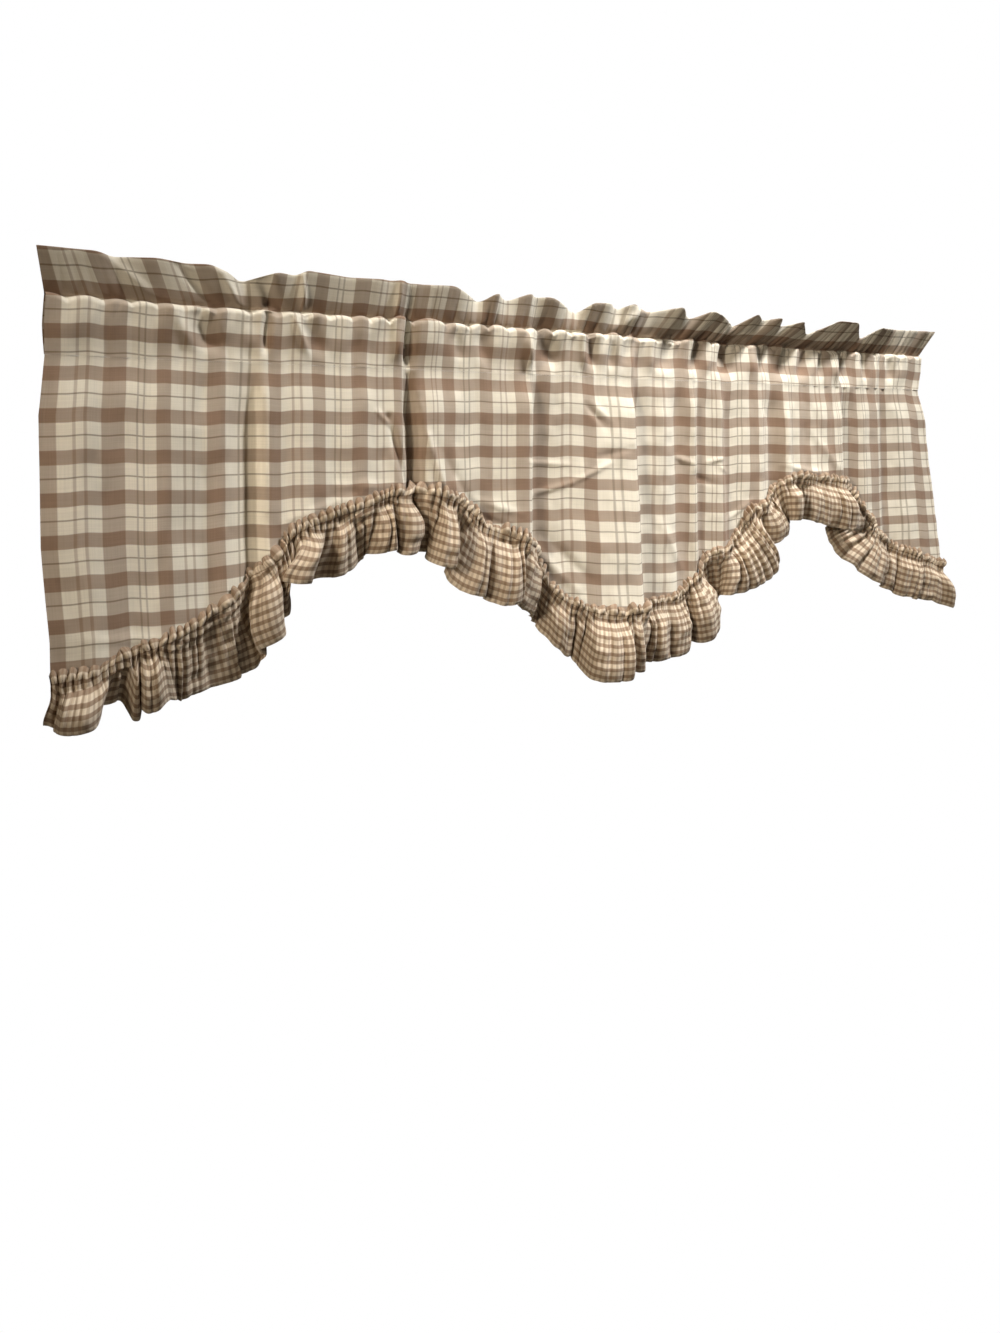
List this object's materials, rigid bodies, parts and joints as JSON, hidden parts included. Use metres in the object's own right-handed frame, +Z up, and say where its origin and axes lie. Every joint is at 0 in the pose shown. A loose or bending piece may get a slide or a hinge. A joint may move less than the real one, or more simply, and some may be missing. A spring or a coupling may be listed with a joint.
{
  "type": "window valance",
  "caption": "Gathered window valance in checked cotton, with a rod pocket under a standing frill and a gingham ruffle along a double-scalloped hem.",
  "frame": {"origin": "middle of the heading's top edge, on the line of its stitching", "axes": "+X along the heading, left to right as seen from the front; the front faces -Y; +Z up"},
  "size_m": [1.2306, 0.0618, 0.4272],
  "materials": {
    "plaid_cotton": "matt woven cotton",
    "gingham_cotton": "matt woven cotton"
  },
  "bodies": {
    "root": {"heading": "plaid_cotton", "panel": "plaid_cotton", "ruffle": "gingham_cotton"}
  },
  "joints": []
}
